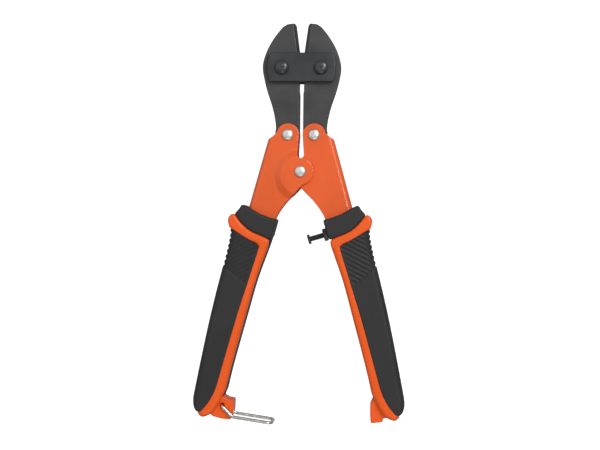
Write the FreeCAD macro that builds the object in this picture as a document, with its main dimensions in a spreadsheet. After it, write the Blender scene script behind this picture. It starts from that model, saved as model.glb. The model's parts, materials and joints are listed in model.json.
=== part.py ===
import FreeCAD, Part
import math
import os

import Sketcher
from FreeCAD import Rotation, Vector

# Bolt cutters of the 210 mm class, lying flat with the handles open. The tool's own plane
# is XY with the jaws towards +Y, and the grips rest on z = 0. All sizes are millimetres.
# Every outline is given from the centre pivot, for the right-hand side of the tool, and
# side = -1 mirrors it for the left-hand side.

RIGHT = 1
LEFT = -1

SIZES = (
    ("pivot_up", 26.875, "centre pivot, above the middle of the tool's length"),
    ("mid_height", 9.0, "middle plane of the tool above the rest plane"),
    ("jaw_pin_x", 10.1, "jaw pivot, sideways"),
    ("jaw_pin_y", 53.5, "jaw pivot, forwards"),
    ("ear_pin_x", 6.8, "ear rivet, sideways"),
    ("ear_pin_y", 19.0, "ear rivet, forwards"),
    ("through", 60.0, "cut that goes right through"),
    ("blade_thick", 7.0, "jaw blade"),
    ("bevel_depth", 3.1, "cutting bevel, through the blade's thickness"),
    ("bevel_width", 1.3, "cutting bevel, across the blade's face"),
    ("plate_gap", 0.1, "link plate clear of the blade"),
    ("plate_thick", 3.0, "link plate"),
    ("plate_round", 0.5, "link plate's rounded rim"),
    ("jaw_pin_rad", 2.6, "jaw rivet's shank"),
    ("jaw_head_rad", 3.65, "jaw rivet's head"),
    ("jaw_head_high", 2.4, "jaw rivet's head"),
    ("pin_rad", 2.0, "shank of the ear and centre rivets"),
    ("head_rad", 2.95, "head of the ear and centre rivets"),
    ("head_high", 1.7, "head of the ear and centre rivets"),
    ("head_round", 0.9, "share of a head's height that is rounded"),
    ("run_fit", 0.06, "radial clearance of a turning fit"),
    ("fixed_fit", 0.02, "radial clearance of a riveted fit"),
    ("center_slack", 0.25, "radial clearance of the right handle on the centre rivet"),
    ("spacer_rad", 4.0, "spacer sleeve on the centre rivet"),
    ("wall_inside", 3.6, "channel wall's inner face from the middle plane"),
    ("wall_thick", 1.8, "channel wall"),
    ("bend_rad", 2.6, "channel's outside bend"),
    ("joggle_rise", 1.9, "left channel wall, pressed outwards round the pivot"),
    ("joggle_x", -0.2, "middle of the pressed area, sideways"),
    ("joggle_y", -2.2, "middle of the pressed area, forwards"),
    ("joggle_flat", 9.8, "radius where the pressed area is flat"),
    ("joggle_foot", 13.5, "radius where the slope meets the plain wall"),
    ("grip_half", 8.7, "grip body from the middle plane"),
    ("panel_half", 9.0, "rubber panel from the middle plane"),
    ("panel_skin", 1.8, "rubber panel's thickness"),
    ("panel_fit", 0.05, "panel clear of the body under it"),
    ("collar_half", 8.4, "collar from the middle plane"),
    ("socket_fit", 0.1, "grip and collar clear of the channel inside them"),
    ("lug_half", 5.5, "foot lug from the middle plane"),
    ("bail_x", 39.6, "bail's hole in the left lug"),
    ("bail_y", -121.3, "bail's hole in the left lug"),
    ("bail_hole_rad", 1.1, "bail's hole"),
    ("bail_wire_rad", 0.85, "bail wire"),
    ("bail_gap", 0.25, "bail wire beside the lug"),
    ("screw_x", 3.9, "stop screw's outer face"),
    ("screw_y", -35.15, "stop screw's outer face"),
    ("screw_tilt", 16.5, "stop screw's axis, in degrees from X"),
    ("screw_head_rad", 2.6, "stop screw's head"),
    ("screw_head_high", 1.3, "stop screw's head"),
    ("screw_rad", 1.4, "stop screw's shank"),
    ("screw_length", 17.6, "stop screw's shank"),
    ("locknut_from", 8.4, "locknut, from the screw's outer face"),
    ("locknut_thick", 2.0, "locknut"),
    ("locknut_flats", 6.5, "locknut across its flats"),
    ("block_from", 13.3, "threaded block, from the screw's outer face"),
    ("block_thick", 4.0, "threaded block along the screw"),
    ("block_wide", 7.1, "threaded block across the channel"),
    ("block_tall", 8.0, "threaded block along the handle"),
    ("block_fit", 0.08, "radial clearance of the screw in its block and nut"),
    ("collar_hole_rad", 1.75, "stop screw's hole in the right collar"),
)

# Cutting edge: it stands edge_angle off the tool's middle line when the jaws are open,
# and edge_reach from the jaw pivot, so that the two edges all but meet when they close.
EDGE_ANGLE = math.radians(7.5)
EDGE_REACH = 9.95
EDGE_LOW = 56.0
EDGE_HIGH = 75.8

# Channel outline points that the grips' sockets share.
SHOULDER = (17.0, 16.8)
OUTER_KNEE = (26.3, -16.6)
OUTER_END = (44.2, -83.2)
INNER_END = (33.2, -86.0)
INNER_KNEE = (15.6, -30.5)
INNER_THROAT = (12.3, -22.9)

doc = FreeCAD.newDocument("bolt_cutters")
nodes = []


def fill_sheet():
    """Write the driving dimensions, each with its alias and a note."""
    table = doc.addObject("Spreadsheet::Sheet", "Dims")
    for row, (name, value, note) in enumerate(SIZES, start=1):
        table.set(f"A{row}", name)
        table.set(f"B{row}", str(value))
        table.setAlias(f"B{row}", name)
        table.set(f"C{row}", note)
    doc.recompute()
    return table


sheet = fill_sheet()


def dim(name):
    """Read one driving dimension."""
    return float(sheet.get(name))


def place(item, x="0", y="0"):
    """Bind an object's place to a point given from the centre pivot."""
    item.setExpression(".Placement.Base.x", f"{x}")
    item.setExpression(".Placement.Base.y", f"Dims.pivot_up + {y}")
    item.setExpression(".Placement.Base.z", "Dims.mid_height")


def keep(item, label):
    """Name a finished sub-part and add it to the written nodes."""
    item.Label = label
    nodes.append(item)
    return item


# ---------------------------------------------------------------- sketches

def edge_curve(here, kind, points):
    """Make one stretch of an outline: a line, a three-point arc or a smooth curve."""
    if kind == "line":
        return Part.LineSegment(here, points[0])
    if kind == "arc":
        return Part.Arc(here, points[0], points[1])
    curve = Part.BSplineCurve()
    curve.interpolate([here] + points)
    return curve


def end_at(sketch, index, point):
    """Tell which end of a sketch edge lies on a point."""
    return 1 if sketch.getPoint(index, 1).distanceToPoint(point) < 1e-4 else 2


def draw(sketch, start, steps, side=RIGHT):
    """Draw a closed outline and tie its stretches end to end."""
    first = sketch.GeometryCount
    here = Vector(side * start[0], start[1], 0)
    joints = []
    for kind, *corners in steps:
        points = [Vector(side * x, y, 0) for x, y in corners]
        sketch.addGeometry(edge_curve(here, kind, points), False)
        here = points[-1]
        joints.append(here)
    count = len(joints)
    for step, joint in enumerate(joints):
        this_edge = first + step
        next_edge = first + (step + 1) % count
        sketch.addConstraint(Sketcher.Constraint(
            "Coincident",
            this_edge, end_at(sketch, this_edge, joint),
            next_edge, end_at(sketch, next_edge, joint),
        ))


def polygon(*points):
    """List straight steps through points, ending back at the first one."""
    return [("line", point) for point in points[1:] + points[:1]]


def sketch_on(body, name, role="XY_Plane", x="0", y="0", z="0"):
    """Add a sketch on one of the body's own planes, moved by bound offsets."""
    sketch = body.newObject("Sketcher::SketchObject", f"{body.Name}_{name}")
    plane = next(item for item in body.Origin.OriginFeatures if item.Role == role)
    sketch.AttachmentSupport = (plane, [""])
    sketch.MapMode = "FlatFace"
    for axis, offset in (("x", x), ("y", y), ("z", z)):
        sketch.setExpression(f".AttachmentOffset.Base.{axis}", offset)
    return sketch


def circle(sketch, radius):
    """Draw a circle round the sketch's origin with a bound radius."""
    index = sketch.addGeometry(Part.Circle(Vector(0, 0, 0), Vector(0, 0, 1), 1.0), False)
    sketch.addConstraint(Sketcher.Constraint("Coincident", index, 3, -1, 1))
    size = sketch.addConstraint(Sketcher.Constraint("Radius", index, 1.0))
    sketch.renameConstraint(size, "radius")
    sketch.setExpression(".Constraints.radius", radius)


# ---------------------------------------------------------------- features

def new_body(name, x="0", y="0"):
    """Start a body whose origin lies at a point given from the centre pivot."""
    body = doc.addObject("PartDesign::Body", name)
    place(body, x, y)
    return body


def extrude(body, sketch, kind, length, way="Symmetric", reverse=False):
    """Pad or pocket a sketch by a bound length."""
    feature = body.newObject(f"PartDesign::{kind}", f"{sketch.Name}_{kind.lower()}")
    feature.Profile = sketch
    feature.SideType = way
    feature.Reversed = reverse
    feature.setExpression("Length", length)
    doc.recompute()
    return feature


def pad(body, sketch, length, **options):
    return extrude(body, sketch, "Pad", length, **options)


def pocket(body, sketch, length="Dims.through", **options):
    """Cut a sketch out of a body, and make sure that the cut takes something away."""
    before = body.Shape.Volume
    feature = extrude(body, sketch, "Pocket", length, **options)
    if body.Shape.Volume > before - 1e-3:
        raise ValueError(f"{sketch.Name} cuts nothing")
    return feature


def drill(body, name, radius, x="0", y="0"):
    """Cut a round hole along Z at a bound place."""
    sketch = sketch_on(body, name, x=x, y=y)
    circle(sketch, radius)
    pocket(body, sketch)


def round_edges(body, name, radius, chosen):
    """Fillet the edges of a body that a test picks."""
    base = body.Tip
    names = [f"Edge{i}" for i, edge in enumerate(base.Shape.Edges, start=1) if chosen(edge)]
    feature = body.newObject("PartDesign::Fillet", f"{body.Name}_{name}")
    feature.Base = (base, names)
    feature.setExpression("Radius", radius)
    doc.recompute()
    return feature


def middle(edge):
    """Find the point halfway along an edge."""
    return edge.valueAt(0.5 * (edge.FirstParameter + edge.LastParameter))


# ---------------------------------------------------------------- head

def link_plate(label, face):
    """One of the two plates that hold the jaw pivots; face is 1 in front, -1 behind."""
    body = new_body(label)
    sketch = sketch_on(body, "outline", z=f"{face} * (Dims.blade_thick / 2 + Dims.plate_gap)")
    draw(sketch, (-16.3, 61.2), [
        ("line", (16.3, 61.2)),
        ("arc", (17.6, 53.75), (16.3, 46.3)),
        ("line", (-16.3, 46.3)),
        ("arc", (-17.6, 53.75), (-16.3, 61.2)),
    ])
    pad(body, sketch, "Dims.plate_thick", way="One side", reverse=face < 0)
    for side, name in ((LEFT, "left_hole"), (RIGHT, "right_hole")):
        drill(body, name, "Dims.jaw_pin_rad + Dims.fixed_fit",
              x=f"{side} * Dims.jaw_pin_x", y="Dims.jaw_pin_y")
    outer_face = face * (dim("blade_thick") / 2 + dim("plate_gap") + dim("plate_thick"))
    round_edges(body, "rim", "Dims.plate_round",
                lambda edge: abs(middle(edge).z - outer_face) < 1e-3
                and edge.BoundBox.DiagonalLength > 3 * dim("jaw_pin_rad"))
    return keep(body, label)


def rivet(label, x, y, pin_rad, head_rad, head_high, grip_half):
    """A one-piece rivet along Z: a shank and a domed head on each end."""
    body = new_body(label, x, y)
    shank = sketch_on(body, "shank")
    circle(shank, pin_rad)
    pad(body, shank, f"2 * ({grip_half})")
    for face, name in ((1, "front_head"), (-1, "rear_head")):
        head = sketch_on(body, name, z=f"{face} * ({grip_half})")
        circle(head, head_rad)
        pad(body, head, head_high, way="One side", reverse=face < 0)
    top = body.Tip.Shape.BoundBox.ZMax
    round_edges(body, "domes", f"Dims.head_round * {head_high}",
                lambda edge: abs(abs(middle(edge).z) - top) < 1e-3)
    return keep(body, label)


def cutting_x(y):
    """Place of the open cutting edge at a height above the centre pivot."""
    start = dim("jaw_pin_x") - EDGE_REACH / math.cos(EDGE_ANGLE)
    return start + (y - dim("jaw_pin_y")) * math.tan(EDGE_ANGLE)


def jaw_blade(label, side):
    """A forged jaw: cutting edge, pivot boss and the tail that its handle drives."""
    body = new_body(label)
    outline = sketch_on(body, "outline")
    draw(outline, (cutting_x(EDGE_LOW), EDGE_LOW), [
        ("line", (cutting_x(EDGE_HIGH), EDGE_HIGH)),
        ("line", (3.7, 76.9)),
        ("line", (7.7, 76.3)),
        ("line", (10.0, 74.9)),
        ("curve", (13.4, 70.7), (17.0, 65.0), (19.3, 59.5), (20.3, 54.1), (19.6, 48.8),
         (17.8, 41.6), (15.4, 34.4), (13.7, 27.5), (13.1, 22.0)),
        ("curve", (12.6, 16.8), (9.2, 13.6), (5.2, 13.5), (1.9, 15.6), (0.95, 19.5)),
        ("line", (0.95, 40.0)),
        ("line", (1.25, 42.0)),
        ("line", (1.25, 45.0)),
        ("line", (0.65, 53.5)),
        ("line", (cutting_x(EDGE_LOW), EDGE_LOW)),
    ], side)
    pad(body, outline, "Dims.blade_thick")
    drill(body, "jaw_hole", "Dims.jaw_pin_rad + Dims.run_fit",
          x=f"{side} * Dims.jaw_pin_x", y="Dims.jaw_pin_y")
    drill(body, "ear_hole", "Dims.pin_rad + Dims.run_fit",
          x=f"{side} * Dims.ear_pin_x", y="Dims.ear_pin_y")
    bevel_cutting_edge(body, side)
    return keep(body, label)


def bevel_cutting_edge(body, side):
    """Grind the cutting edge from both faces with a two-distance chamfer."""
    base = body.Tip
    low, high = EDGE_LOW, EDGE_HIGH
    half = dim("blade_thick") / 2
    centre = Vector(side * cutting_x((low + high) / 2), (low + high) / 2, 0)

    def on_edge(edge):
        point = middle(edge)
        return abs(abs(point.z) - half) < 1e-3 and point.distanceToPoint(
            Vector(centre.x, centre.y, point.z)) < 0.01

    names = [f"Edge{i}" for i, edge in enumerate(base.Shape.Edges, start=1) if on_edge(edge)]
    ground = Vector(centre.x + side * 0.3 * dim("bevel_width"), centre.y, 0.97 * half)
    for flip in (False, True):
        for sizes in (("bevel_depth", "bevel_width"), ("bevel_width", "bevel_depth")):
            feature = body.newObject("PartDesign::Chamfer", f"{body.Name}_bevel")
            feature.Base = (base, names)
            feature.ChamferType = "Two distances"
            feature.setExpression("Size", f"Dims.{sizes[0]}")
            feature.setExpression("Size2", f"Dims.{sizes[1]}")
            feature.FlipDirection = flip
            doc.recompute()
            wide = Vector(centre.x + side * 2.0 * dim("bevel_width"), centre.y, 0.97 * half)
            cut_low = not feature.Shape.isInside(ground, 1e-4, True)
            kept_wide = feature.Shape.isInside(wide, 1e-4, True)
            if feature.Shape.isValid() and cut_low and kept_wide:
                return
            body.removeObject(feature)
            doc.removeObject(feature.Name)
            body.Tip = base
    raise ValueError("no chamfer leaves the bevel on the cutting edge")


# ---------------------------------------------------------------- handles

def channel_steps():
    """Outline of a handle channel from the top of its ear, seen from the front."""
    return [
        ("arc", (2.63, 23.17), (0.9, 19.0)),
        ("line", (1.6, 9.4)),
        ("arc", (1.35, 7.8), (0.35, 6.89)),
        ("arc", (-6.9, 0.0), (-2.36, -6.48)),
        ("curve", (0.0, -8.2), (2.0, -10.4), (6.3, -14.6), (9.6, -18.7), INNER_THROAT),
        ("line", INNER_KNEE),
        ("line", INNER_END),
        ("line", OUTER_END),
        ("line", OUTER_KNEE),
        ("line", SHOULDER),
        ("arc", (14.2, 18.6), (12.57, 20.2)),
        ("arc", (10.97, 23.17), (6.8, 24.9)),
    ]


EAR_TOP = (6.8, 24.9)


def joggle_band(body):
    """Turn the pressed wall's section round the middle of the pressed area."""
    sketch = sketch_on(body, "band", role="XZ_Plane", x="Dims.joggle_x", z="-1 * Dims.joggle_y")
    low, thick, rise = dim("wall_inside"), dim("wall_thick"), dim("joggle_rise")
    flat, foot = dim("joggle_flat"), dim("joggle_foot")
    for face in (1, -1):
        corners = (
            (0, face * (low + rise)),
            (flat, face * (low + rise)),
            (foot, face * low),
            (foot, face * (low + thick)),
            (flat, face * (low + rise + thick)),
            (0, face * (low + rise + thick)),
        )
        draw(sketch, corners[0], polygon(*corners))
    band = body.newObject("PartDesign::Revolution", f"{body.Name}_joggle")
    band.Profile = sketch
    band.ReferenceAxis = (sketch, ["V_Axis"])
    band.Angle = 360
    doc.recompute()


def handle_channel(label, side):
    """A pressed-steel channel, open towards the other handle, with two ear walls."""
    body = new_body(label)
    outline = sketch_on(body, "outline")
    draw(outline, EAR_TOP, channel_steps(), side)
    pad(body, outline, "2 * (Dims.wall_inside + Dims.wall_thick)")

    outer_middles = [
        Vector(side * (a[0] + b[0]) / 2, (a[1] + b[1]) / 2, 0)
        for a, b in ((SHOULDER, OUTER_KNEE), (OUTER_KNEE, OUTER_END))
    ]
    face = dim("wall_inside") + dim("wall_thick")
    round_edges(body, "bend", "Dims.bend_rad", lambda edge: any(
        middle(edge).distanceToPoint(Vector(spot.x, spot.y, z)) < 0.01
        for spot in outer_middles for z in (face, -face)))

    web = dim("wall_thick")
    hollow = sketch_on(body, "hollow")
    draw(hollow, (-20.0, 30.0), polygon(
        (-20.0, 30.0),
        (SHOULDER[0] - web - 1.4, 30.0),
        (SHOULDER[0] - web, SHOULDER[1]),
        (OUTER_KNEE[0] - web, OUTER_KNEE[1]),
        (OUTER_END[0] - web, OUTER_END[1]),
        (OUTER_END[0] - web, -95.0),
        (-20.0, -95.0),
    ), side)
    pocket(body, hollow, "2 * Dims.wall_inside")

    if side == LEFT:
        clear = sketch_on(body, "clear", x="Dims.joggle_x", y="Dims.joggle_y")
        circle(clear, "Dims.joggle_foot")
        pocket(body, clear)
        joggle_band(body)
        trim = sketch_on(body, "trim")
        draw(trim, EAR_TOP, channel_steps(), side)
        draw(trim, (-60.0, 60.0), polygon((-60.0, 60.0), (60.0, 60.0), (60.0, -99.0), (-60.0, -99.0)))
        pocket(body, trim)

    drill(body, "ear_hole", "Dims.pin_rad + Dims.fixed_fit",
          x=f"{side} * Dims.ear_pin_x", y="Dims.ear_pin_y")
    slack = "Dims.fixed_fit" if side == LEFT else "Dims.center_slack"
    drill(body, "center_hole", f"Dims.pin_rad + {slack}")
    return keep(body, label)


def center_spacer():
    """Sleeve that keeps the crossed channel walls apart on the centre rivet."""
    body = new_body("center_spacer")
    sleeve = sketch_on(body, "sleeve")
    circle(sleeve, "Dims.spacer_rad")
    pad(body, sleeve, "2 * (Dims.wall_inside - Dims.fixed_fit)")
    drill(body, "bore", "Dims.pin_rad + Dims.fixed_fit")
    return keep(body, "center_spacer")


# ---------------------------------------------------------------- grips

# Top edge of the thumb ridge, which the collar's lower edge follows.
RIDGE_TOP = ((15.6, -35.1), (19.6, -32.7), (24.5, -31.0), (27.9, -28.2), (33.8, -21.9))
OUTER_SIDE = ((36.1, -32.5), (38.3, -43.7), (43.6, -64.5), (48.2, -85.0), (53.6, -112.0), (54.7, -119.0))
PANEL_TOP = (36.4, -28.6)


def socket_outline(fit):
    """Room for the channel inside a grip or collar."""
    return (
        (OUTER_KNEE[0] - 1.9 + fit, -9.8),
        (OUTER_KNEE[0] + fit, OUTER_KNEE[1]),
        (OUTER_END[0] + fit, OUTER_END[1] - fit),
        (INNER_END[0] - fit, INNER_END[1] - fit),
        (INNER_KNEE[0] - fit, INNER_KNEE[1]),
        (INNER_THROAT[0] - fit, INNER_THROAT[1]),
        (5.0, -9.8),
    )


def cut_socket(body, side):
    """Hollow a body out for the channel that it is pushed onto."""
    corners = socket_outline(dim("socket_fit"))
    sketch = sketch_on(body, "socket")
    draw(sketch, corners[0], polygon(*corners), side)
    pocket(body, sketch, "2 * (Dims.wall_inside + Dims.wall_thick + Dims.socket_fit)")


def panel_shell(name, side, half, fit=0.0, spill=0.0):
    """The rubber panel: front and rear skins joined round the grip's outer side.

    fit enlarges it where it meets the grip body, and spill carries it past the outer side.
    """
    body = new_body(name)
    outline = sketch_on(body, "outline")
    outer = tuple((x + spill, y) for x, y in (PANEL_TOP,) + OUTER_SIDE)
    draw(outline, (PANEL_TOP[0], PANEL_TOP[1] + fit), [
        ("line", (26.5 - fit, -34.5 + fit)),
        ("line", (20.7 - fit, -37.4 + fit)),
        ("line", (21.3 - fit, -40.0)),
        ("curve", (26.4 - fit, -56.0), (32.4 - fit, -75.0), (39.4 - fit, -100.0), (42.5 - fit, -112.3)),
        ("curve", (45.9 - fit, -119.8 - fit), (51.6, -125.9 - fit)),
        ("curve", (54.0 + spill, -122.6), outer[-1]),
        ("curve",) + outer[-2::-1],
    ] + ([("line", (PANEL_TOP[0], PANEL_TOP[1] + fit))] if spill else []), side)
    pad(body, outline, half)
    inset = dim("panel_skin") + fit
    hollow = sketch_on(body, "hollow")
    draw(hollow, (0.0, -15.0), [
        ("line", (34.4 - inset, -15.0)),
        ("line", (36.4 - inset, -26.0)),
        ("curve",) + tuple((x - inset, y) for x, y in OUTER_SIDE),
        ("curve", (53.6 - inset, -122.8), (50.6 - inset, -126.5)),
        ("line", (50.6 - inset, -140.0)),
        ("line", (0.0, -140.0)),
        ("line", (0.0, -15.0)),
    ], side)
    pocket(body, hollow, f"2 * (Dims.panel_half - Dims.panel_skin - {fit})")
    return body


def lug_steps(side):
    """Outline of the foot lug: the bail's ear on the left, the catch hook on the right."""
    if side == LEFT:
        return (
            (46.6, -119.5), (46.4, -125.3), (44.6, -127.1), (39.9, -128.3), (35.0, -128.8),
            (33.7, -124.1), (33.5, -118.4), (36.4, -118.1), (38.5, -116.9), (42.0, -115.0),
        )
    return (
        (46.6, -119.5), (46.6, -126.4), (44.8, -126.2), (43.3, -126.7), (43.8, -128.3),
        (37.3, -129.1), (37.0, -124.0), (37.0, -119.5), (38.4, -116.5), (42.0, -115.0),
    )


def grip_body(label, side):
    """The hard plastic grip: thumb ridge, inner stripe and foot lug in one moulding."""
    whole = new_body(f"{label}_whole")
    outline = sketch_on(whole, "outline")
    draw(outline, RIDGE_TOP[0], [("line", point) for point in RIDGE_TOP[1:]] + [
        ("curve", (36.9, -24.3), PANEL_TOP),
        ("curve",) + OUTER_SIDE,
        ("curve", (53.4, -124.2), (49.3, -127.3), (44.9, -125.4), (41.4, -120.6), (37.5, -113.0)),
        ("curve", (34.0, -100.0), (27.2, -75.0), (22.0, -56.0), (16.4, -39.5)),
        ("line", RIDGE_TOP[0]),
    ], side)
    pad(whole, outline, "2 * Dims.grip_half")
    lug = sketch_on(whole, "lug")
    corners = lug_steps(side)
    draw(lug, corners[0], polygon(*corners), side)
    pad(whole, lug, "2 * Dims.lug_half")
    cut_socket(whole, side)
    if side == LEFT:
        drill(whole, "bail_hole", "Dims.bail_hole_rad", x="-1 * Dims.bail_x", y="Dims.bail_y")

    room = panel_shell(f"{label}_room", side, "Dims.through", fit=dim("panel_fit"), spill=2.0)
    body = doc.addObject("Part::Cut", label)
    body.Base = whole
    body.Tool = room
    return keep(body, label)


def grip_panel(label, side):
    """The black rubber panel that wraps the outer side of a grip."""
    return keep(panel_shell(label, side, "2 * Dims.panel_half"), label)


def collar(label, side):
    """The black sleeve between the painted channel and the thumb ridge."""
    body = new_body(label if side == LEFT else f"{label}_plain")
    outline = sketch_on(body, "outline")
    lower = [("line", (x, y + dim("panel_fit"))) for x, y in RIDGE_TOP[1:]]
    draw(outline, (RIDGE_TOP[0][0], RIDGE_TOP[0][1] + dim("panel_fit")), lower + [
        ("curve", (31.2, -19.2), (30.0, -17.0)),
        ("line", (26.4, -18.7)),
        ("line", (21.2, -21.8)),
        ("line", (16.0, -23.8)),
        ("line", (11.9, -24.8)),
        ("line", (14.2, -33.3)),
        ("line", (RIDGE_TOP[0][0], RIDGE_TOP[0][1] + dim("panel_fit"))),
    ], side)
    pad(body, outline, "2 * Dims.collar_half")
    cut_socket(body, side)
    if side == LEFT:
        return keep(body, label)

    bore = doc.addObject("Part::Cylinder", f"{label}_bore")
    bore.setExpression("Radius", "Dims.collar_hole_rad")
    bore.setExpression("Height", "Dims.block_from")
    put_on_screw(bore, "0")
    cut = doc.addObject("Part::Cut", label)
    cut.Base = body
    cut.Tool = bore
    return keep(cut, label)


# ---------------------------------------------------------------- stop screw

def put_on_screw(item, along):
    """Set an object's Z along the stop screw, a distance in from its outer face.

    Its X then points up, across the channel, and its Y down along the handle.
    """
    tilt = math.radians(dim("screw_tilt"))
    inward = Vector(math.cos(tilt), math.sin(tilt), 0)
    upward = Vector(0, 0, 1)
    item.Placement.Rotation = Rotation(upward, inward.cross(upward), inward, "ZXY")
    item.setExpression(".Placement.Base.x", f"Dims.screw_x + ({along}) * {math.cos(tilt)}")
    item.setExpression(".Placement.Base.y",
                       f"Dims.pivot_up + Dims.screw_y + ({along}) * {math.sin(tilt)}")
    item.setExpression(".Placement.Base.z", "Dims.mid_height")


def stop_screw():
    """The screw whose head meets the other handle when the jaws are shut."""
    body = doc.addObject("PartDesign::Body", "stop_screw")
    head = sketch_on(body, "head")
    circle(head, "Dims.screw_head_rad")
    pad(body, head, "Dims.screw_head_high", way="One side")
    shank = sketch_on(body, "shank", z="Dims.screw_head_high")
    circle(shank, "Dims.screw_rad")
    pad(body, shank, "Dims.screw_length", way="One side")
    put_on_screw(body, "0")
    return keep(body, "stop_screw")


def stop_locknut():
    """Hexagon nut that locks the stop screw."""
    body = doc.addObject("PartDesign::Body", "stop_locknut")
    hexagon = sketch_on(body, "hexagon")
    reach = dim("locknut_flats") / math.sqrt(3)
    turns = [math.radians(60 * step) for step in range(6)]
    corners = [(reach * math.cos(turn), reach * math.sin(turn)) for turn in turns]
    draw(hexagon, corners[0], polygon(*corners))
    pad(body, hexagon, "Dims.locknut_thick", way="One side")
    drill(body, "thread", "Dims.screw_rad + Dims.block_fit")
    put_on_screw(body, "Dims.locknut_from")
    return keep(body, "stop_locknut")


def stop_nut():
    """Threaded block held between the right channel's walls."""
    body = doc.addObject("PartDesign::Body", "stop_nut")
    block = sketch_on(body, "block")
    tall, wide = dim("block_tall") / 2, dim("block_wide") / 2
    corners = [(wide, tall), (-wide, tall), (-wide, -tall), (wide, -tall)]
    draw(block, corners[0], polygon(*corners))
    pad(body, block, "Dims.block_thick", way="One side")
    drill(body, "thread", "Dims.screw_rad + Dims.block_fit")
    put_on_screw(body, "Dims.block_from")
    return keep(body, "stop_nut")


# ---------------------------------------------------------------- bail

def rounded_wire(points, radii):
    """Join points by straight runs and tangent arcs, one radius for each inner point."""
    edges = []
    here = points[0]
    for corner, after, radius in zip(points[1:-1], points[2:], radii):
        inward = (here - corner).normalize()
        onward = (after - corner).normalize()
        half_turn = 0.5 * (math.pi - inward.getAngle(onward))
        back = radius * math.tan(half_turn)
        start = corner + inward * back
        end = corner + onward * back
        bisector = (inward + onward).normalize()
        top = corner + bisector * (radius / math.cos(half_turn) - radius)
        edges.append(Part.makeLine(here, start))
        edges.append(Part.Arc(start, top, end).toShape())
        here = end
    edges.append(Part.makeLine(here, points[-1]))
    return Part.Wire(edges)


def bail_wire():
    """The wire loop that swings on the left lug and hooks round the right one."""
    leg = dim("lug_half") + dim("bail_gap") + dim("bail_wire_rad")
    tip = 1.5
    hole = (-dim("bail_x"), dim("bail_y"))
    front = [
        Vector(*hole, tip),
        Vector(*hole, leg),
        Vector(-34.0, -127.0, leg),
        Vector(-13.7, -129.8, leg),
    ]
    rear = [Vector(point.x, point.y, -point.z) for point in reversed(front)]
    path = rounded_wire(front + rear, (1.5, 4.0, 2.4, 2.4, 4.0, 1.5))
    profile = Part.Wire([Part.makeCircle(dim("bail_wire_rad"), front[0], Vector(0, 0, 1))])
    item = doc.addObject("Part::Feature", "bail_wire")
    item.Shape = path.makePipeShell([profile], True, True)
    section = math.pi * dim("bail_wire_rad") ** 2
    if abs(item.Shape.Volume / (section * path.Length) - 1) > 0.01:
        raise ValueError("the bail's volume doesn't match its length")
    place(item)
    return keep(item, "bail_wire")


# ---------------------------------------------------------------- assembly

link_plate("front_link_plate", 1)
link_plate("rear_link_plate", -1)
for side, hand in ((LEFT, "left"), (RIGHT, "right")):
    rivet(f"{hand}_jaw_rivet", f"{side} * Dims.jaw_pin_x", "Dims.jaw_pin_y", "Dims.jaw_pin_rad",
          "Dims.jaw_head_rad", "Dims.jaw_head_high",
          "Dims.blade_thick / 2 + Dims.plate_gap + Dims.plate_thick")
    rivet(f"{hand}_ear_rivet", f"{side} * Dims.ear_pin_x", "Dims.ear_pin_y", "Dims.pin_rad",
          "Dims.head_rad", "Dims.head_high", "Dims.wall_inside + Dims.wall_thick")
    jaw_blade(f"{hand}_jaw_blade", side)
    handle_channel(f"{hand}_handle_channel", side)
    grip_body(f"{hand}_grip_body", side)
    grip_panel(f"{hand}_grip_panel", side)
    collar(f"{hand}_collar", side)
rivet("center_rivet", "0", "0", "Dims.pin_rad", "Dims.head_rad", "Dims.head_high",
      "Dims.wall_inside + Dims.joggle_rise + Dims.wall_thick")
center_spacer()
stop_screw()
stop_locknut()
stop_nut()
bail_wire()
doc.recompute()


def check_document():
    """Stop when an object has failed or a sub-part isn't a sound solid."""
    for item in doc.Objects:
        if {"Invalid", "Error"} & set(item.State):
            raise ValueError(f"{item.Name} failed: {item.State}")
    for item in nodes:
        if item.Shape.isNull() or not item.Shape.isValid():
            raise ValueError(f"{item.Label} has no valid shape")
        if len(item.Shape.Solids) != 1:
            raise ValueError(f"{item.Label} has {len(item.Shape.Solids)} solids")


def write_nodes():
    """Write one STEP file for each sub-part, named after it."""
    os.makedirs("parts", exist_ok=True)
    for item in nodes:
        item.Shape.exportStep(os.path.join("parts", f"{item.Label}.step"))


def print_box():
    """Report the whole tool's box, which is centred on X and Y and stands on z = 0."""
    box = FreeCAD.BoundBox()
    for item in nodes:
        box.add(item.Shape.optimalBoundingBox(True, False))
    print(f"box x {box.XMin:.3f} {box.XMax:.3f}  y {box.YMin:.3f} {box.YMax:.3f}  "
          f"z {box.ZMin:.3f} {box.ZMax:.3f}")


check_document()
write_nodes()
print_box()
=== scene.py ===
import json
import math

import bpy
from bpy.props import FloatProperty, FloatVectorProperty, IntProperty, PointerProperty
from mathutils import Matrix, Vector
from mathutils.geometry import interpolate_bezier

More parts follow.
